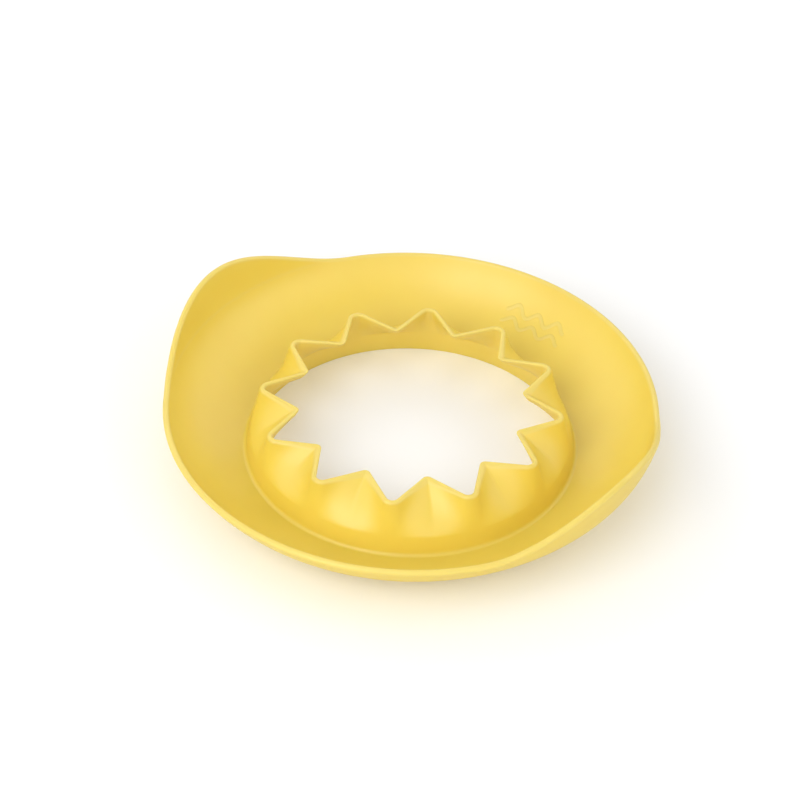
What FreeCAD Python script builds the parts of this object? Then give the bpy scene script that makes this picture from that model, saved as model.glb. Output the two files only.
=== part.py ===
"""Sun-shaped sand mould: a round flared dish with two upturned grip ears and a pleated sun-shaped collar.

Frame, in millimetres: the mould stands on its foot ring on the plane Z = 0, the Z axis runs up through the
middle of the opening, and the two grip ears lie on the X axis.
"""
import FreeCAD, Part
import math
import os

V = FreeCAD.Vector
UP = V(0, 0, 1)

# Driving dimensions
WALL = 2.4                # moulded wall of the dish, square to the surface
OPENING_R = 60.0          # round opening at the foot
FOOT_OUTER_R = 66.0
FOOT_CHAMFER = 0.4
SEAM_R = 61.4             # circle where the dish floor meets the collar
SEAM_Z = 3.2
RIM_R = 90.0              # inner corner of the dish rim
RIM_Z = 24.0
RIM_SLOPE = math.radians(62)       # steepness of the dish wall at the rim

EAR_RISE = 15.0           # how far an ear stands above the rim
EAR_FLARE = 3.8           # how far its top leans outwards
EAR_HALF_ANGLE = math.radians(37)
EAR_TOE = 0.25            # the ear's outline starts this far under the rim, so its ends aren't feathered
EAR_OUTLINE_STEPS = 24

RAYS = 12
COLLAR_TOP_Z = 24.0
COLLAR_WALL = 2.0         # width of the collar's top edge
PLEAT_Z = 12.0            # the collar is a plain cone up to here, then its pleats deepen to the top
PLEAT_INSIDE_Z = 10.5     # the same on its inside, lower so that the wall keeps its thickness
TIP_R = 55.5              # middle of the top edge at a ray's tip
ROOT_R = 42.2             # middle of the top edge between two rays
TIP_ROUND = 3.0           # rounding of the top edge's middle line at the tips
ROOT_ROUND = 1.5          # and between the rays

EMBLEM_R = 78.6           # distance of the emblem's middle from the axis, on the +Y side
EMBLEM_LENGTH = 27.0
EMBLEM_WAVES = 3
EMBLEM_STEPS_PER_WAVE = 8
EMBLEM_ROWS = 2
EMBLEM_ROW_PITCH = 4.2
EMBLEM_AMPLITUDE = 1.3
EMBLEM_STROKE = 1.1
EMBLEM_RELIEF = 0.25
EMBLEM_SECTOR = 60.0      # degrees of the dish wall that its waves are cut from

# Worked out: the dish wall is an arc in section, about a centre above the trough
RUN = RIM_R - SEAM_R
LIFT = RIM_Z - SEAM_Z
ARC_R = (RUN**2 + LIFT**2) / (2 * (RUN * math.sin(RIM_SLOPE) - LIFT * math.cos(RIM_SLOPE)))
ARC_CENTRE_R = RIM_R - ARC_R * math.sin(RIM_SLOPE)
ARC_CENTRE_Z = RIM_Z + ARC_R * math.cos(RIM_SLOPE)
HALF_RAY = math.pi / RAYS


def arc_z(r, radius):
    """Height at distance r from the axis of a section arc of this radius about the dish's arc centre."""
    return ARC_CENTRE_Z - math.sqrt(radius**2 - (r - ARC_CENTRE_R) ** 2)


def arc_r(z, radius):
    """Distance from the axis, on the outer side, where that arc has height z."""
    return ARC_CENTRE_R + math.sqrt(radius**2 - (ARC_CENTRE_Z - z) ** 2)


FLOOR_UNDER_Z = arc_z(SEAM_R, ARC_R + WALL)     # underside of the dish floor at the seam
RIM_OUTER_R = arc_r(RIM_Z, ARC_R + WALL)


def at(r, z):
    """A point of a section, in the XZ plane."""
    return V(r, 0, z)


def line(a, b):
    return Part.LineSegment(a, b).toShape()


def section_arc(r_from, r_to, radius):
    """The stretch of a section arc from one distance to another."""
    r_mid = (r_from + r_to) / 2
    ends = [at(r, arc_z(r, radius)) for r in (r_from, r_mid, r_to)]
    return Part.Arc(*ends).toShape()


def turned(edges, degrees=360.0):
    """The solid that a closed section makes when it is turned about the Z axis."""
    face = Part.Face(Part.Wire(edges))
    return face.revolve(V(0, 0, 0), UP, degrees)


def flared_dish():
    """The round dish wall, from the collar's foot out to a level rim."""
    under_r = ARC_R + WALL
    corner_low = at(SEAM_R, FLOOR_UNDER_Z)
    corner_seam = at(SEAM_R, SEAM_Z)
    rim_inner = at(RIM_R, RIM_Z)
    rim_outer = at(RIM_OUTER_R, RIM_Z)
    return turned([
        line(corner_low, corner_seam),
        section_arc(SEAM_R, RIM_R, ARC_R),
        line(rim_inner, rim_outer),
        section_arc(RIM_OUTER_R, SEAM_R, under_r),
    ])


def foot_ring():
    """The flat ring that the mould stands on, under the dish floor and the collar."""
    inner_top = at(OPENING_R, FLOOR_UNDER_Z)
    seam_low = at(SEAM_R, FLOOR_UNDER_Z)
    outer_top = at(FOOT_OUTER_R, arc_z(FOOT_OUTER_R, ARC_R + WALL))
    outer_low = at(FOOT_OUTER_R, FOOT_CHAMFER)
    sole_outer = at(FOOT_OUTER_R - FOOT_CHAMFER, 0)
    sole_inner = at(OPENING_R, 0)
    return turned([
        line(inner_top, seam_low),
        section_arc(SEAM_R, FOOT_OUTER_R, ARC_R + WALL),
        line(outer_top, outer_low),
        line(outer_low, sole_outer),
        line(sole_outer, sole_inner),
        line(sole_inner, inner_top),
    ])


def ear_share(angle):
    """Height of an ear's outline at this angle from the ear's middle, as a share of its full rise."""
    if abs(angle) >= EAR_HALF_ANGLE:
        return 0.0
    return math.cos(math.pi * angle / (2 * EAR_HALF_ANGLE)) ** 2


def ear_outline():
    """The ear's upper edge as seen along the X axis: a bell from one end to the other."""
    points = []
    for step in range(EAR_OUTLINE_STEPS + 1):
        angle = EAR_HALF_ANGLE * (2 * step / EAR_OUTLINE_STEPS - 1)
        share = ear_share(angle)
        y = (RIM_R + EAR_FLARE * share) * math.sin(angle)
        z = RIM_Z - EAR_TOE + (EAR_RISE + EAR_TOE) * share
        points.append(V(0, y, z))
    curve = Part.BSplineCurve()
    curve.interpolate(points)
    return curve.toShape(), points[0], points[-1]


def grip_ear(turn):
    """One upturned ear: a piece of a steep cone that stands on the rim, trimmed to a bell outline."""
    width = RIM_OUTER_R - RIM_R
    top_r = RIM_R + EAR_FLARE
    top_z = RIM_Z + EAR_RISE
    corners = [at(RIM_R, RIM_Z), at(RIM_R + width, RIM_Z), at(top_r + width, top_z), at(top_r, top_z)]
    sides = [line(a, b) for a, b in zip(corners, corners[1:] + corners[:1])]
    wall = turned(sides, 2 * math.degrees(EAR_HALF_ANGLE))
    wall.rotate(V(0, 0, 0), UP, -math.degrees(EAR_HALF_ANGLE))
    curve, first, last = ear_outline()
    low_first = V(0, first.y, 0)
    low_last = V(0, last.y, 0)
    below = [line(last, low_last), line(low_last, low_first), line(low_first, first)]
    outline = Part.Face(Part.Wire([curve] + below))
    ear = wall.common(outline.extrude(V(RIM_OUTER_R + EAR_RISE, 0, 0)))
    ear.rotate(V(0, 0, 0), UP, turn)
    return ear.Solids[0]


def polar(r, angle, z=0.0):
    return V(r * math.cos(angle), r * math.sin(angle), z)


def star_points(offset, z):
    """For one ray, six points of the outline that lies offset outside the top edge's middle line.

    They are the tip's start, apex and end, and the root's start, apex and end. The rounding circles keep
    their centres at every offset. The flank touches both and passes between them, so its normal leans from
    the line of centres by an angle that the two radii give.
    """
    tip_centre = polar(TIP_R - TIP_ROUND, 0)
    root_centre = polar(ROOT_R + ROOT_ROUND, HALF_RAY)
    across = root_centre - tip_centre
    lean = math.acos((TIP_ROUND + ROOT_ROUND) / across.Length)
    normal = polar(1, math.atan2(across.y, across.x) - lean)   # out of the flank
    level = V(0, 0, z)
    tip_end = tip_centre + normal * (TIP_ROUND + offset) + level
    root_start = root_centre - normal * (ROOT_ROUND - offset) + level
    tip_start = V(tip_end.x, -tip_end.y, z)
    root_end = polar(math.hypot(root_start.x, root_start.y),
                     2 * HALF_RAY - math.atan2(root_start.y, root_start.x), z)
    tip_apex = polar(TIP_R + offset, 0, z)
    root_apex = polar(ROOT_R + offset, HALF_RAY, z)
    return [tip_start, tip_apex, tip_end, root_start, root_apex, root_end]


def swung(point, angle):
    return FreeCAD.Rotation(UP, math.degrees(angle)).multVec(point)


def star_wire(offset, z):
    """The rounded sun outline: an arc at each tip, a straight flank, an arc at each root, a flank."""
    edges = []
    for ray in range(RAYS):
        turn = 2 * HALF_RAY * ray
        tip_start, tip_apex, tip_end, root_start, root_apex, root_end = [
            swung(point, turn) for point in star_points(offset, z)]
        next_tip_start = swung(tip_start, 2 * HALF_RAY)
        edges.append(Part.Arc(tip_start, tip_apex, tip_end).toShape())
        edges.append(line(tip_end, root_start))
        edges.append(Part.Arc(root_start, root_apex, root_end).toShape())
        edges.append(line(root_end, next_tip_start))
    return Part.Wire(edges)


def circle_wire(radius, z, offset):
    """A circle cut into arcs at the angles of the sun outline's corners, so that they loft edge to edge."""
    tip_start, _, tip_end, root_start, _, root_end = star_points(offset, z)
    corners = (tip_start, tip_end, root_start, root_end)
    angles = [math.atan2(corner.y, corner.x) for corner in corners]
    angles.append(angles[0] + 2 * HALF_RAY)
    edges = []
    for ray in range(RAYS):
        turn = 2 * HALF_RAY * ray
        for a, b in zip(angles, angles[1:]):
            ends = [polar(radius, turn + angle, z) for angle in (a, (a + b) / 2, b)]
            edges.append(Part.Arc(*ends).toShape())
    return Part.Wire(edges)


def collar_skin(foot_r, foot_z, pleat_z, offset):
    """The space inside one side of the collar: a cone up to the pleats, then a blend from circle to sun."""
    rise = (pleat_z - foot_z) / (COLLAR_TOP_Z - foot_z)
    pleat_r = foot_r + (TIP_R + offset - foot_r) * rise
    cone = Part.makeCone(foot_r, pleat_r, pleat_z - foot_z, V(0, 0, foot_z))
    low = circle_wire(pleat_r, pleat_z, offset)
    top = star_wire(offset, COLLAR_TOP_Z)
    return cone.fuse(Part.makeLoft([low, top], True, True))


def sun_collar():
    """The pleated tube in the middle: round at the foot, a sun with rounded rays at its top."""
    half = COLLAR_WALL / 2
    outside = collar_skin(SEAM_R, SEAM_Z, PLEAT_Z, half)
    foot = Part.makeCylinder(SEAM_R, SEAM_Z - FLOOR_UNDER_Z, V(0, 0, FLOOR_UNDER_Z))
    inside = collar_skin(OPENING_R, FLOOR_UNDER_Z, PLEAT_INSIDE_Z, -half)
    return outside.fuse(foot).cut(inside).removeSplitter().Solids[0]


def wave_outline(row):
    """One wave of the emblem, seen from above: a band of constant width along a cosine curve."""
    y_mid = EMBLEM_R + (row - (EMBLEM_ROWS - 1) / 2) * EMBLEM_ROW_PITCH
    per_length = 2 * math.pi * EMBLEM_WAVES / EMBLEM_LENGTH
    steps = EMBLEM_WAVES * EMBLEM_STEPS_PER_WAVE
    far_side = []
    near_side = []
    for step in range(steps + 1):
        x = EMBLEM_LENGTH * (step / steps - 0.5)
        middle = V(x, y_mid + EMBLEM_AMPLITUDE * math.cos(per_length * x), 0)
        slope = -EMBLEM_AMPLITUDE * per_length * math.sin(per_length * x)
        reach = V(-slope, 1, 0).normalize() * (EMBLEM_STROKE / 2)
        far_side.append(middle + reach)
        near_side.append(middle - reach)
    far_curve = Part.BSplineCurve()
    far_curve.interpolate(far_side)
    near_curve = Part.BSplineCurve()
    near_curve.interpolate(near_side)
    edges = [far_curve.toShape(), line(far_side[-1], near_side[-1]),
             near_curve.toShape(), line(near_side[0], far_side[0])]
    return Part.Face(Part.Wire(edges))


def wave_emblem():
    """Two small raised waves on the dish wall, midway between the ears."""
    reach = EMBLEM_ROWS * EMBLEM_ROW_PITCH
    low_r = EMBLEM_R - reach
    high_r = EMBLEM_R + reach
    skin_r = ARC_R - EMBLEM_RELIEF
    skin = turned([
        section_arc(low_r, high_r, ARC_R),
        line(at(high_r, arc_z(high_r, ARC_R)), at(high_r, arc_z(high_r, skin_r))),
        section_arc(high_r, low_r, skin_r),
        line(at(low_r, arc_z(low_r, skin_r)), at(low_r, arc_z(low_r, ARC_R))),
    ], EMBLEM_SECTOR)
    skin.rotate(V(0, 0, 0), UP, 90 - EMBLEM_SECTOR / 2)
    waves = [skin.common(wave_outline(row).extrude(UP * RIM_Z)).Solids[0] for row in range(EMBLEM_ROWS)]
    return Part.Compound(waves)


def main():
    os.makedirs("parts", exist_ok=True)
    parts = {
        "flared_dish": flared_dish(),
        "foot_ring": foot_ring(),
        "grip_ear_right": grip_ear(0),
        "grip_ear_left": grip_ear(180),
        "sun_collar": sun_collar(),
        "wave_emblem": wave_emblem(),
    }
    for name, shape in parts.items():
        shape.exportStep(os.path.join("parts", name + ".step"))
        volume = shape.Volume / 1000
        print(f"{name}: {len(shape.Solids)} solid(s), {volume:.2f} cm3, valid {shape.isValid()}")


main()
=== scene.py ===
import bpy
import math
import numpy as np
from mathutils import Matrix, Vector


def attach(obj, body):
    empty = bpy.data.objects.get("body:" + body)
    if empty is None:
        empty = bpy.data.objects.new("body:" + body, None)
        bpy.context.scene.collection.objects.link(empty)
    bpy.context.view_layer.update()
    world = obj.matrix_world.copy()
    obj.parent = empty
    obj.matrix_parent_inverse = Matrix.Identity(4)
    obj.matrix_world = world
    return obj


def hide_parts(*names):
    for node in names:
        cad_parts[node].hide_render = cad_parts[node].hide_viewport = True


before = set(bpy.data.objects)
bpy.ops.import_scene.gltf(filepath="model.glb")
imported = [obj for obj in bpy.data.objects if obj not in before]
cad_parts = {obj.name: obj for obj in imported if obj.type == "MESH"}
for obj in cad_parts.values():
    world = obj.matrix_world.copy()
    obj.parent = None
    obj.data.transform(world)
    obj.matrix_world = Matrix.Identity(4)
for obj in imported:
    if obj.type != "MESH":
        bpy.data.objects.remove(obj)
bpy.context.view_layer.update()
mm = 0.001
scene = bpy.context.scene
print("frame loaded")


def meshPiece(name, grid, material, endsOpen=False, sharpAngle=50.0):
    # grid[i, j] is a point: each point joins the next one along i and along j, and both ways close in a loop
    # with endsOpen the i way stops at its two ends, which each get a fan of triangles round their middle
    rows, columns = grid.shape[:2]
    index = np.arange(rows * columns).reshape(rows, columns)
    nextRow = np.roll(index, -1, axis=0)
    quads = np.stack([index, nextRow, np.roll(nextRow, -1, axis=1), np.roll(index, -1, axis=1)], axis=-1)
    points = grid.reshape(-1, 3)
    faces = (quads[:-1] if endsOpen else quads).reshape(-1, 4).tolist()
    if endsOpen:
        first, last = len(points), len(points) + 1
        points = np.concatenate([points, grid[:1].mean(axis=1), grid[-1:].mean(axis=1)])
        ahead = np.roll(index, -1, axis=1)
        faces += np.stack([np.full(columns, first), index[0], ahead[0]], axis=-1).tolist()
        faces += np.stack([np.full(columns, last), ahead[-1], index[-1]], axis=-1).tolist()
    mesh = bpy.data.meshes.new(name)
    mesh.from_pydata(points.tolist(), [], faces)
    mesh.update()
    if signedVolume(mesh) < 0:
        mesh.flip_normals()
    mesh.polygons.foreach_set("use_smooth", np.ones(len(mesh.polygons), dtype=bool))
    mesh.set_sharp_from_angle(angle=math.radians(sharpAngle))
    mesh.materials.append(material)
    piece = bpy.data.objects.new(name, mesh)
    scene.collection.objects.link(piece)
    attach(piece, "root")
    print(name, "has", len(faces), "faces")
    return piece


def signedVolume(mesh):
    # the sum over all triangles of the box product of their corners: positive when they face outwards
    mesh.calc_loop_triangles()
    corners = np.empty(len(mesh.loop_triangles) * 3, dtype=np.int32)
    mesh.loop_triangles.foreach_get("vertices", corners)
    points = np.empty(len(mesh.vertices) * 3)
    mesh.vertices.foreach_get("co", points)
    a, b, c = points.reshape(-1, 3)[corners].reshape(-1, 3, 3).transpose(1, 0, 2)
    return float(np.einsum("ij,ij->i", a, np.cross(b, c)).sum())


def paintShare(piece, name, values):
    # writes one number per point, which materials read by its name
    layer = piece.data.attributes.new(name, "FLOAT", "POINT")
    layer.data.foreach_set("value", np.ascontiguousarray(values, dtype=np.float32).ravel())


def smoothStep(x):
    # 0 below 0, 1 above 1, and three x squared less two x cubed between
    x = np.clip(x, 0.0, 1.0)
    return x * x * (3 - 2 * x)


def tangentOf(slope):
    # the unit step along a wall with this slope: its cosine outwards, its sine upwards
    return np.stack([np.cos(slope), np.sin(slope)], axis=-1)


def normalOf(slope):
    # square to the tangent, to its right: out of the dish's underside
    return np.stack([np.sin(slope), -np.cos(slope)], axis=-1)


def roundLip(end, slope, wall, rounding, steps):
    # from the end of a wall's inner face over to its outer face: a quarter circle, a flat, a quarter circle
    # end is the last point of the inner face, and slope is the wall's direction there
    t, n = tangentOf(slope), normalOf(slope)
    turn = np.linspace(0, math.pi / 2, steps)
    first = end[..., None, :] + n[..., None, :] * rounding * (1 - np.cos(turn))[:, None] \
        + t[..., None, :] * rounding * np.sin(turn)[:, None]
    far = end + n * wall
    last = far[..., None, :] - n[..., None, :] * rounding * (1 - np.cos(turn))[:, None] \
        + t[..., None, :] * rounding * np.sin(turn)[:, None]
    return np.concatenate([first, last[..., ::-1, :]], axis=-2)


def turnedGrid(section, angle):
    # section[i, j] = (distance from the Z axis, height) at angle i, turned to that angle
    r, z = section[..., 0], section[..., 1]
    angle = angle[:, None]
    return np.stack([r * np.cos(angle), r * np.sin(angle), z + 0 * angle], axis=-1)


# the dish and its two ears, in one skin as they are moulded
brim = {
    "seamRadius": 61.4 * mm, "seamHeight": 3.2 * mm,
    "rimRadius": 90.0 * mm, "rimHeight": 24.0 * mm, "rimSlope": 62.0,
    "wall": 2.4 * mm, "lipRounding": 1.05 * mm,
    "earRise": 15.0 * mm, "earFlare": 3.8 * mm, "earHalfAngle": 37.0,
    "earBlend": 0.2,                # share of the rise over which an ear's foot bends to its own slope
    "bendLength": 14.0 * mm,        # length of wall over which the dish's slope turns into an ear's
    "footHighlightWidth": 0.5 * mm, "footHighlightShare": 0.8,        # the faint painted highlight line round an ear's foot, in place of light caught on the bend
    "angleSteps": 576, "sideSteps": 62, "lipSteps": 7,
}


def dishArc():
    # the arc through the seam and the rim that has the rim's slope at the rim: its centre and its radius
    run = brim["rimRadius"] - brim["seamRadius"]
    lift = brim["rimHeight"] - brim["seamHeight"]
    slope = math.radians(brim["rimSlope"])
    radius = (run**2 + lift**2) / (2 * (run * math.sin(slope) - lift * math.cos(slope)))
    centre = (brim["rimRadius"] - radius * math.sin(slope), brim["rimHeight"] + radius * math.cos(slope))
    return np.array(centre), radius


arcCentre, arcRadius = dishArc()


def arcPoint(slope):
    # the point of the dish's inner arc where it has this slope
    return arcCentre + arcRadius * normalOf(slope)


def dishHeight(distance):
    # height of the dish's inner face at this distance from the Z axis
    return arcCentre[1] - np.sqrt(arcRadius**2 - (distance - arcCentre[0]) ** 2)


def earShare(angle):
    # squared cosine bells at 0 and at 180 degrees, 1 at their tops and 0 outside the ears
    fromEar = np.abs((np.degrees(angle) + 90) % 180 - 90)
    inside = np.clip(fromEar / brim["earHalfAngle"], 0, 1)
    return np.cos(math.pi / 2 * inside) ** 2


def makeBrim(material):
    # for each angle a closed section: up the inside, over the lip, and back down outside. The inside's slope
    # grows evenly with length as on an arc, and turns by a smooth step to the ear's own slope round the ear's
    # foot. Its points are the running sum of short steps along that slope.
    p = brim
    angle = np.linspace(0, 2 * math.pi, p["angleSteps"], endpoint=False)
    share = earShare(angle)
    rimSlope = math.radians(p["rimSlope"])
    seamSlope = math.asin((p["seamRadius"] - arcCentre[0]) / arcRadius)
    earSlope = math.atan2(p["earRise"], p["earFlare"])
    onEar = smoothStep(share / p["earBlend"])[:, None]
    turn = (earSlope - rimSlope) * onEar
    rimLength = arcRadius * (rimSlope - seamSlope)
    fullLength = rimLength + math.hypot(p["earRise"], p["earFlare"]) * share - p["lipRounding"]
    length = fullLength[:, None] * np.linspace(0, 1, p["sideSteps"])
    past = (length - rimLength) / p["bendLength"] + 0.5
    slope = seamSlope + np.minimum(length, rimLength) / arcRadius + turn * smoothStep(past)
    halfway = tangentOf((slope[:, 1:] + slope[:, :-1]) / 2) * np.diff(length, axis=1)[..., None]
    start = np.broadcast_to(arcPoint(seamSlope), (len(angle), 1, 2))
    inside = np.concatenate([start, start + np.cumsum(halfway, axis=1)], axis=1)
    lip = roundLip(inside[:, -1], slope[:, -1], p["wall"], p["lipRounding"], p["lipSteps"])
    outside = inside + normalOf(slope) * p["wall"]
    section = np.concatenate([inside[:, :-1], lip, outside[:, -2::-1]], axis=1)
    piece = meshPiece("brimAndEars", turnedGrid(section, angle), material)
    # painted highlight: a pale line round each ear's foot and the whole lip go toward the pale tone, where
    # the bend and the edge catch the light
    footHighlight = p["footHighlightShare"] * np.exp(-((length - rimLength) / p["footHighlightWidth"]) ** 2) * onEar
    paleHighlight = np.concatenate([footHighlight[:, :-1], 0 * lip[..., 0] + 1, 0 * outside[:, :-1, 0]], axis=1)
    paintShare(piece, "edgeShare", paleHighlight)
    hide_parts("flared_dish", "grip_ear_left", "grip_ear_right")


# the pleated tube: a cone at the foot whose section turns into a sun with rounded rays at the top
collar = {
    "rays": 12, "topHeight": 24.0 * mm, "wall": 2.0 * mm, "lipRounding": 0.92 * mm,
    "tipRadius": 55.5 * mm, "rootRadius": 42.2 * mm, "tipRounding": 3.0 * mm, "rootRounding": 1.5 * mm,
    "footRadius": 60.43 * mm, "footHeight": 3.2 * mm,
    "pleatHeight": 10.5 * mm,       # the cone is plain up to here
    "pleatPower": 1.25,             # over 1, the pleats start softly
    "thickenDepth": 3.0 * mm,       # the wall has its full thickness this far below the top edge
    "filletRadius": 1.5 * mm, "bottomHeight": 0.767 * mm,
    "seamTop": 2.4 * mm, "buriedRadius": 62.0 * mm, "buriedHeight": 2.9 * mm,   # in the dish's wall
    "tipSteps": 8, "flankSteps": 12, "rootSteps": 7, "heightSteps": 38, "lipSteps": 7, "filletSteps": 7,
}


def sunOutline(p):
    # the top edge's middle line round one ray, then round them all: its points' distances, angles and normals
    # tip and root are arcs, and the flank touches both: its normal leans from their line of centres by the
    # angle whose cosine is the sum of the radii over the distance
    halfRay = math.pi / p["rays"]
    tipCentre = np.array([p["tipRadius"] - p["tipRounding"], 0.0])
    rootCentre = (p["rootRadius"] + p["rootRounding"]) * np.array([math.cos(halfRay), math.sin(halfRay)])
    across = rootCentre - tipCentre
    lean = math.acos((p["tipRounding"] + p["rootRounding"]) / np.linalg.norm(across))
    square = math.atan2(across[1], across[0]) - lean
    tipTurn = np.linspace(0, square, p["tipSteps"])
    rootTurn = np.linspace(square, halfRay, p["rootSteps"])
    tip = tipCentre + p["tipRounding"] * np.stack([np.cos(tipTurn), np.sin(tipTurn)], axis=-1)
    root = rootCentre - p["rootRounding"] * np.stack([np.cos(rootTurn), np.sin(rootTurn)], axis=-1)
    share = np.linspace(0, 1, p["flankSteps"] + 1)[1:-1, None]
    half = np.concatenate([tip, tip[-1] + (root[0] - tip[-1]) * share, root])
    halfTurn = np.concatenate([tipTurn, np.full(len(share), square), rootTurn])
    distance = np.hypot(*half.T)
    angle = np.arctan2(half[:, 1], half[:, 0])
    distance = np.concatenate([distance, distance[-2:0:-1]])
    angle = np.concatenate([angle, 2 * halfRay - angle[-2:0:-1]])
    turn = np.concatenate([halfTurn, 2 * halfRay - halfTurn[-2:0:-1]])
    starts = 2 * halfRay * np.arange(p["rays"])[:, None]
    return np.tile(distance, p["rays"]), (angle + starts).ravel(), (turn + starts).ravel()


def filletSection(p):
    # the hollow corner between the collar's outside and the dish, from the dish up, as distances and heights
    lean = math.atan2(p["topHeight"] - p["footHeight"], p["tipRadius"] - p["footRadius"])
    floorSlope = math.asin((brim["seamRadius"] - arcCentre[0]) / arcRadius)
    corner = np.array([p["footRadius"] + p["wall"] / 2, p["footHeight"]])
    up, out = tangentOf(lean), tangentOf(floorSlope)
    half = (lean - floorSlope) / 2
    middle = corner + tangentOf(floorSlope + half) * p["filletRadius"] / math.sin(half)
    turn = np.linspace(floorSlope - math.pi / 2, lean + math.pi / 2 - 2 * math.pi, p["filletSteps"])
    return middle + p["filletRadius"] * np.stack([np.cos(turn), np.sin(turn)], axis=-1)


def makeCollar(material):
    # distance from the axis = cone's distance - pleat share * (tip distance - sun's distance), where the
    # pleat share grows from 0 at the pleats' start to 1 at the top. Then a step to each side along the plan
    # normal, whose lean from the radius has the tangent
    # pleat share * sun's distance / distance * the sun's own tangent
    p = collar
    sunDistance, angle, sunTurn = sunOutline(p)
    half = p["wall"] / 2
    fillet = filletSection(p)
    lipTurn = np.linspace(0, math.pi / 2, p["lipSteps"])
    lipStep = half - p["lipRounding"] * (1 - np.cos(lipTurn))
    lipHeight = p["topHeight"] - p["lipRounding"] * (1 - np.sin(lipTurn))
    climb = np.linspace(fillet[-1, 1], lipHeight[0], p["heightSteps"])[1:-1]
    fall = np.linspace(lipHeight[0], p["bottomHeight"], p["heightSteps"])[1:]
    seam = brim["seamRadius"]
    hidden = np.array([[seam, p["bottomHeight"]], [seam, p["seamTop"]],
                       [p["buriedRadius"], p["buriedHeight"]]])
    height = np.concatenate([fillet[:, 1], climb, lipHeight, lipHeight[::-1], fall, hidden[:, 1]])
    fallRate = (p["tipRadius"] - p["footRadius"]) / (p["topHeight"] - p["footHeight"])
    cone = p["footRadius"] + fallRate * (height - p["footHeight"])
    step = np.concatenate([fillet[:, 0] - cone[:len(fillet)], np.full(len(climb), half), lipStep,
                           -lipStep[::-1], np.full(len(fall), -half), hidden[:, 0] - cone[-len(hidden):]])
    rise = np.clip((height - p["pleatHeight"]) / (p["topHeight"] - p["pleatHeight"]), 0, 1)
    pleat = rise ** p["pleatPower"]
    pleatRate = p["pleatPower"] * rise ** (p["pleatPower"] - 1) / (p["topHeight"] - p["pleatHeight"])
    depth = (p["tipRadius"] - sunDistance)[:, None]
    distance = cone - pleat * depth
    lean = np.arctan(pleat * sunDistance[:, None] / distance * np.tan(sunTurn - angle)[:, None])
    steepness = (fallRate - pleatRate * depth) * np.cos(lean)
    thicken = np.sqrt(1 + steepness**2) - 1
    thicken = thicken * smoothStep((p["topHeight"] - height) / p["thickenDepth"]) * p["wall"]
    insideWall = np.arange(len(height)) >= len(fillet) + len(climb) + 2 * len(lipTurn)
    insideWall &= np.arange(len(height)) < len(height) - len(hidden)
    step = step - thicken * insideWall
    turn = angle[:, None] + lean
    x = distance * np.cos(angle)[:, None] + step * np.cos(turn)
    y = distance * np.sin(angle)[:, None] + step * np.sin(turn)
    piece = meshPiece("sunCollar", np.stack([x, y, height + 0 * x], axis=-1), material)
    # painted highlight: the whole top lip goes to the pale tone, where its rounded edge catches the light
    lipHighlight = np.where(height >= lipHeight[0], 1.0, 0.0)
    paintShare(piece, "edgeShare", lipHighlight + 0 * x)
    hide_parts("sun_collar")


# the flat ring that the mould stands on
foot = {
    "inside": 60.0 * mm, "outside": 66.0 * mm, "top": 0.767 * mm, "rounding": 0.4 * mm,
    "buried": 2.1 * mm, "seamRise": 0.4 * mm, "angleSteps": 288, "cornerSteps": 6,
}


def makeFoot(material):
    # a section of straight runs and two quarter circles at the sole's edges, turned round the Z axis
    p = foot
    turn = np.linspace(0, math.pi / 2, p["cornerSteps"])
    inset = p["rounding"] * (1 - np.cos(turn))
    height = p["rounding"] * (1 - np.sin(turn))
    inner = np.stack([p["inside"] + inset, height], axis=-1)
    outer = np.stack([p["outside"] - inset, height], axis=-1)
    top = np.array([[p["outside"], p["buried"]], [brim["seamRadius"], p["top"] + p["seamRise"]],
                    [brim["seamRadius"], p["top"]], [p["inside"], p["top"]]])
    section = np.concatenate([inner, outer[::-1], top])
    angle = np.linspace(0, 2 * math.pi, p["angleSteps"], endpoint=False)
    piece = meshPiece("footRing", turnedGrid(np.tile(section, (len(angle), 1, 1)), angle), material)
    paintShare(piece, "edgeShare", np.zeros(len(piece.data.vertices)))
    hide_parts("foot_ring")


# two low raised waves on the dish, midway between the ears
emblem = {
    "distance": 78.6 * mm, "length": 27.0 * mm, "waves": 3, "rows": 2, "rowPitch": 4.2 * mm,
    "amplitude": 1.3 * mm, "stroke": 1.3 * mm, "relief": 0.16 * mm, "buried": 0.3 * mm,
    "edgeShare": 0.9, "alongSteps": 97, "acrossSteps": 20,
}


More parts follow.
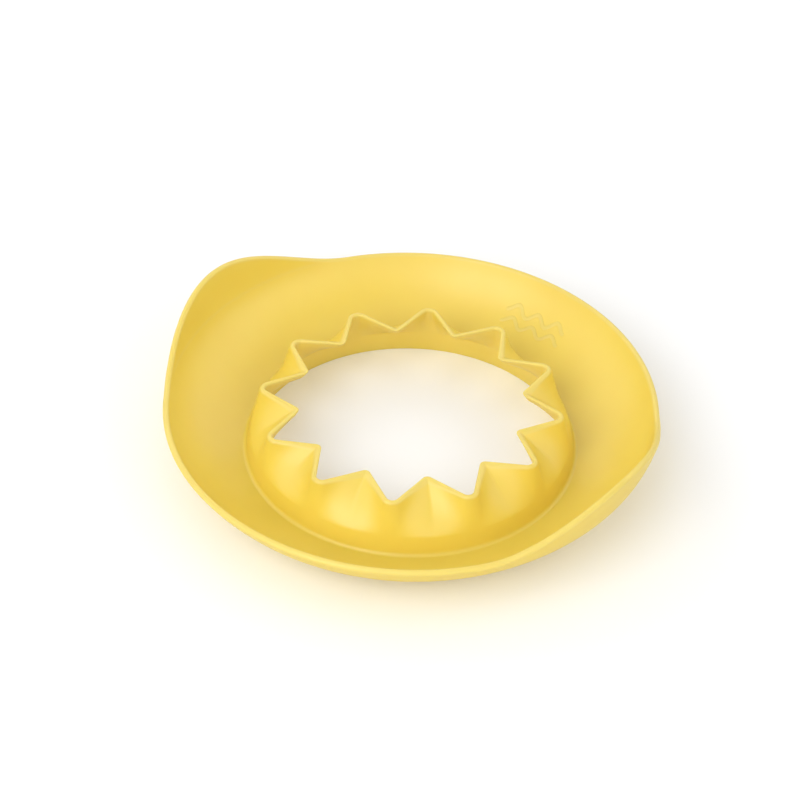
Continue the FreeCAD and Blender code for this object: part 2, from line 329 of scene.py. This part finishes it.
def makeWave(row, material):
    # y = amplitude * cosine along x, swept by a low ellipse whose width shrinks as a half circle at both
    # ends, and the whole is raised onto the dish along the dish's own normal
    p = emblem
    reach = p["stroke"] / 2
    x = p["length"] / 2 * np.sin(np.linspace(-math.pi / 2, math.pi / 2, p["alongSteps"] + 2)[1:-1])
    waveRate = 2 * math.pi * p["waves"] / p["length"]
    y = p["distance"] + (row - (p["rows"] - 1) / 2) * p["rowPitch"] + p["amplitude"] * np.cos(waveRate * x)
    rate = -p["amplitude"] * waveRate * np.sin(waveRate * x)
    side = np.stack([-rate, np.ones_like(rate)], axis=-1) / np.hypot(rate, 1)[:, None]
    fromEnd = np.clip((p["length"] / 2 - np.abs(x)) / reach, 0, 1)
    width = reach * np.sqrt(1 - (1 - fromEnd) ** 2)
    around = np.linspace(0, 2 * math.pi, p["acrossSteps"], endpoint=False)
    across = (width[:, None] * np.cos(around))[..., None]
    plan = np.stack([x, y], axis=-1)[:, None, :] + side[:, None, :] * across
    lift = np.where(np.sin(around) > 0, p["relief"], p["buried"]) * np.sin(around) * (width / reach)[:, None]
    distance = np.hypot(plan[..., 0], plan[..., 1])
    slope = np.arcsin((distance - arcCentre[0]) / arcRadius)
    outwards = plan / distance[..., None]
    flat = plan - outwards * (np.sin(slope) * lift)[..., None]
    height = dishHeight(distance) + np.cos(slope) * lift
    grid = np.concatenate([flat, height[..., None]], axis=-1)
    piece = meshPiece("waveEmblem%d" % (row + 1), grid, material, endsOpen=True)
    # painted highlight: the whole raised wave goes most of the way to the pale tone, where its relief catches
    # the light
    paintShare(piece, "edgeShare", np.full(len(piece.data.vertices), p["edgeShare"]))
    return piece


def colourOf(red, green, blue):
    # from the values that a colour picker shows, 0 to 255, to linear light
    value = np.array([red, green, blue]) / 255
    linear = np.where(value > 0.04045, ((value + 0.055) / 1.055) ** 2.4, value / 12.92)
    return (*linear.tolist(), 1.0)


yellowPlastic = {
    # the pale tone is a painted highlight and a painted glow of light through thin edges, put on edges and
    # lips
    "deep": colourOf(243, 218, 88), "full": colourOf(246, 223, 97), "paleHighlight": colourOf(238, 222, 140),
    "driftScale": 24.0, "driftDetail": 3.0, "driftRoughness": 0.55, "driftLow": 0.3, "driftHigh": 0.7,
    "edge": 0.3,                    # how far a full share goes to the pale tone: the painted highlight on edges
    "grainScale": 2600.0, "grainDetail": 2.0, "grainDepth": 0.012 * mm,
    "cloudScale": 60.0, "cloudDetail": 4.0, "cloudMiddle": 0.5,
    "roughness": 0.4, "roughnessSpread": 0.1, "ior": 1.5, "specular": 0.9,
    "subsurface": 0.1, "subsurfaceRadius": (1.0, 0.62, 0.1), "subsurfaceDepth": 2.0 * mm,
    "lightThrough": 0.22,
}


def newGroup(name, inputs, outputs):
    # a node group with these sockets, given as pairs of a label and a kind; the material sets its inputs
    group = bpy.data.node_groups.new(name, "ShaderNodeTree")
    for label, kind in inputs:
        group.interface.new_socket(label, in_out="INPUT", socket_type="NodeSocket" + kind)
    for label, kind in outputs:
        group.interface.new_socket(label, in_out="OUTPUT", socket_type="NodeSocket" + kind)
    return group, group.nodes.new("NodeGroupInput"), group.nodes.new("NodeGroupOutput")


def toneDriftAndHighlightGroup():
    # a colour that drifts slowly between two tones, as pigment does in a moulding, and is painted paler on
    # thin edges: a painted highlight
    group, given, result = newGroup("toneDriftAndHighlight", [
        ("Deep", "Color"), ("Full", "Color"), ("PaleHighlight", "Color"), ("Scale", "Float"), ("EdgeHighlight", "Float")],
        [("Colour", "Color")])
    nodes, link = group.nodes, group.links.new
    coords = nodes.new("ShaderNodeTexCoord")
    noise = nodes.new("ShaderNodeTexNoise")
    noise.inputs["Detail"].default_value = yellowPlastic["driftDetail"]
    noise.inputs["Roughness"].default_value = yellowPlastic["driftRoughness"]
    link(coords.outputs["Object"], noise.inputs["Vector"])
    link(given.outputs["Scale"], noise.inputs["Scale"])
    spread = nodes.new("ShaderNodeMapRange")
    spread.inputs["From Min"].default_value = yellowPlastic["driftLow"]
    spread.inputs["From Max"].default_value = yellowPlastic["driftHigh"]
    link(noise.outputs["Fac"], spread.inputs["Value"])
    tone = nodes.new("ShaderNodeMix")
    tone.data_type = "RGBA"
    link(spread.outputs["Result"], tone.inputs["Factor"])
    link(given.outputs["Deep"], tone.inputs["A"])
    link(given.outputs["Full"], tone.inputs["B"])
    edge = nodes.new("ShaderNodeAttribute")
    edge.attribute_name = "edgeShare"
    edgeAmount = nodes.new("ShaderNodeMath")
    edgeAmount.operation = "MULTIPLY"
    link(edge.outputs["Fac"], edgeAmount.inputs[0])
    link(given.outputs["EdgeHighlight"], edgeAmount.inputs[1])
    highlighted = nodes.new("ShaderNodeMix")
    highlighted.data_type = "RGBA"
    link(edgeAmount.outputs["Value"], highlighted.inputs["Factor"])
    link(tone.outputs["Result"], highlighted.inputs["A"])
    link(given.outputs["PaleHighlight"], highlighted.inputs["B"])
    link(highlighted.outputs["Result"], result.inputs["Colour"])
    return group


def fineGrainGroup():
    # a fine spark-eroded grain: a height for bump, and a roughness that varies with it and more slowly
    group, given, result = newGroup("fineGrain", [
        ("Scale", "Float"), ("Roughness", "Float"), ("Spread", "Float")],
        [("Height", "Float"), ("Roughness", "Float")])
    nodes, link = group.nodes, group.links.new
    coords = nodes.new("ShaderNodeTexCoord")
    grain = nodes.new("ShaderNodeTexNoise")
    grain.inputs["Detail"].default_value = yellowPlastic["grainDetail"]
    link(coords.outputs["Object"], grain.inputs["Vector"])
    link(given.outputs["Scale"], grain.inputs["Scale"])
    cloud = nodes.new("ShaderNodeTexNoise")
    cloud.inputs["Scale"].default_value = yellowPlastic["cloudScale"]
    cloud.inputs["Detail"].default_value = yellowPlastic["cloudDetail"]
    link(coords.outputs["Object"], cloud.inputs["Vector"])
    centred = nodes.new("ShaderNodeMath")
    centred.operation = "SUBTRACT"
    centred.inputs[1].default_value = yellowPlastic["cloudMiddle"]
    link(cloud.outputs["Fac"], centred.inputs[0])
    varied = nodes.new("ShaderNodeMath")
    varied.operation = "MULTIPLY_ADD"
    link(centred.outputs["Value"], varied.inputs[0])
    link(given.outputs["Spread"], varied.inputs[1])
    link(given.outputs["Roughness"], varied.inputs[2])
    link(grain.outputs["Fac"], result.inputs["Height"])
    link(varied.outputs["Value"], result.inputs["Roughness"])
    return group


toneDriftAndHighlight = toneDriftAndHighlightGroup()
fineGrain = fineGrainGroup()


def satinYellow(name):
    # a satin plastic: part of the light goes back from and just under the skin, and the share lightThrough of
    # it comes out of the wall's other side
    p = yellowPlastic
    material = bpy.data.materials.new(name)
    material.use_nodes = True
    nodes, link = material.node_tree.nodes, material.node_tree.links.new
    shader = nodes["Principled BSDF"]
    tone = nodes.new("ShaderNodeGroup")
    tone.node_tree = toneDriftAndHighlight
    tone.inputs["Deep"].default_value = p["deep"]
    tone.inputs["Full"].default_value = p["full"]
    tone.inputs["PaleHighlight"].default_value = p["paleHighlight"]
    tone.inputs["Scale"].default_value = p["driftScale"]
    tone.inputs["EdgeHighlight"].default_value = p["edge"]
    grain = nodes.new("ShaderNodeGroup")
    grain.node_tree = fineGrain
    grain.inputs["Scale"].default_value = p["grainScale"]
    grain.inputs["Roughness"].default_value = p["roughness"]
    grain.inputs["Spread"].default_value = p["roughnessSpread"]
    bump = nodes.new("ShaderNodeBump")
    bump.inputs["Distance"].default_value = p["grainDepth"]
    link(tone.outputs["Colour"], shader.inputs["Base Color"])
    link(grain.outputs["Roughness"], shader.inputs["Roughness"])
    link(grain.outputs["Height"], bump.inputs["Height"])
    link(bump.outputs["Normal"], shader.inputs["Normal"])
    shader.inputs["IOR"].default_value = p["ior"]
    shader.inputs["Specular IOR Level"].default_value = p["specular"]
    shader.inputs["Subsurface Weight"].default_value = p["subsurface"]
    shader.inputs["Subsurface Radius"].default_value = p["subsurfaceRadius"]
    shader.inputs["Subsurface Scale"].default_value = p["subsurfaceDepth"]
    through = nodes.new("ShaderNodeBsdfTranslucent")
    link(tone.outputs["Colour"], through.inputs["Color"])
    wall = nodes.new("ShaderNodeMixShader")
    wall.inputs["Fac"].default_value = p["lightThrough"]
    link(shader.outputs["BSDF"], wall.inputs[1])
    link(through.outputs["BSDF"], wall.inputs[2])
    link(wall.outputs["Shader"], nodes["Material Output"].inputs["Surface"])
    return material


makeBrim(satinYellow("yellowBrim"))
makeCollar(satinYellow("yellowCollar"))
makeFoot(satinYellow("yellowFoot"))
waveMaterial = satinYellow("yellowEmblem")
waves = [makeWave(row, waveMaterial) for row in range(emblem["rows"])]
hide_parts("wave_emblem")
print("mould built")

# the studio: a white table that glows a little, an even ring of soft boxes, a key box and one box above
studio = {
    "floorSize": 8.0, "floorColour": (0.84, 0.84, 0.84, 1.0), "floorRoughness": 0.9, "floorSpecular": 0.1,
    "white": (1.0, 1.0, 1.0, 1.0), "floorGlow": 0.1, "worldStrength": 0.22,
    "boxDistance": 1.3, "boxSize": 1.0,     # metres, and below angles in degrees and powers in watts
    "ringCount": 8, "ringHeight": 30.0, "ringPower": 3.0,
    "keyAngle": 270.0, "keyHeight": 45.0, "keyPower": 6.5,
    "topAngle": 0.0, "topHeight": 90.0, "topPower": 2.0,
}


def makeFloor():
    # a square table at height 0
    half = studio["floorSize"] / 2
    mesh = bpy.data.meshes.new("floor")
    corners = [(-half, -half, 0), (half, -half, 0), (half, half, 0), (-half, half, 0)]
    mesh.from_pydata(corners, [], [(0, 1, 2, 3)])
    material = bpy.data.materials.new("floorPaper")
    material.use_nodes = True
    shader = material.node_tree.nodes["Principled BSDF"]
    shader.inputs["Base Color"].default_value = studio["floorColour"]
    shader.inputs["Roughness"].default_value = studio["floorRoughness"]
    shader.inputs["Specular IOR Level"].default_value = studio["floorSpecular"]
    shader.inputs["Emission Color"].default_value = studio["white"]
    shader.inputs["Emission Strength"].default_value = studio["floorGlow"]
    mesh.materials.append(material)
    floor = bpy.data.objects.new("floor", mesh)
    scene.collection.objects.link(floor)


def makeBox(name, angle, height, power):
    # a soft disc that faces the mould from an angle round the Z axis from +X and a height over the table
    a, e = math.radians(angle), math.radians(height)
    towards = Vector((math.cos(a) * math.cos(e), math.sin(a) * math.cos(e), math.sin(e)))
    light = bpy.data.lights.new(name, "AREA")
    light.shape = "DISK"
    light.size = studio["boxSize"]
    light.energy = power
    box = bpy.data.objects.new(name, light)
    box.location = towards * studio["boxDistance"]
    box.rotation_euler = towards.to_track_quat("Z", "Y").to_euler()
    scene.collection.objects.link(box)


def makeLights():
    # the ring's boxes stand at equal steps of angle and all have one height and one power
    world = bpy.data.worlds.new("studioWorld")
    world.use_nodes = True
    background = world.node_tree.nodes["Background"]
    background.inputs["Color"].default_value = studio["white"]
    background.inputs["Strength"].default_value = studio["worldStrength"]
    scene.world = world
    for i in range(studio["ringCount"]):
        makeBox(f"ringBox{i}", 360.0 * i / studio["ringCount"], studio["ringHeight"], studio["ringPower"])
    makeBox("keyBox", studio["keyAngle"], studio["keyHeight"], studio["keyPower"])
    makeBox("topBox", studio["topAngle"], studio["topHeight"], studio["topPower"])


# the camera looks down across the mould from between its front and its right ear
look = {
    "azimuth": 36.3, "elevation": 41.16, "distance": 1.131, "lens": 135.8, "roll": 1.655,
    "aimRight": -3.7 * mm, "aimUp": 18.8 * mm,     # from the foot's middle, square to the line of sight
    "clipStart": 0.05, "clipEnd": 50.0,
}


def makeCamera():
    # back is the direction from the mould to the camera; right and up are level, then turned by the roll
    a, e, roll = (math.radians(look[key]) for key in ("azimuth", "elevation", "roll"))
    back = Vector((math.sin(a) * math.cos(e), -math.cos(a) * math.cos(e), math.sin(e)))
    levelRight = Vector((math.cos(a), math.sin(a), 0))
    levelUp = back.cross(levelRight)
    right = levelRight * math.cos(roll) + levelUp * math.sin(roll)
    up = levelUp * math.cos(roll) - levelRight * math.sin(roll)
    place = back * look["distance"]
    forward = (right * look["aimRight"] + up * look["aimUp"] - place).normalized()
    side = forward.cross(up).normalized()
    turn = Matrix((side, side.cross(forward), -forward)).transposed().to_4x4()
    data = bpy.data.cameras.new("camera")
    data.lens = look["lens"]
    data.clip_start = look["clipStart"]
    data.clip_end = look["clipEnd"]
    camera = bpy.data.objects.new("camera", data)
    camera.matrix_world = Matrix.Translation(place) @ turn
    scene.collection.objects.link(camera)
    scene.camera = camera


makeFloor()
makeLights()
makeCamera()
scene.view_settings.view_transform = "Standard"
scene.view_settings.look = "None"
print("studio ready")
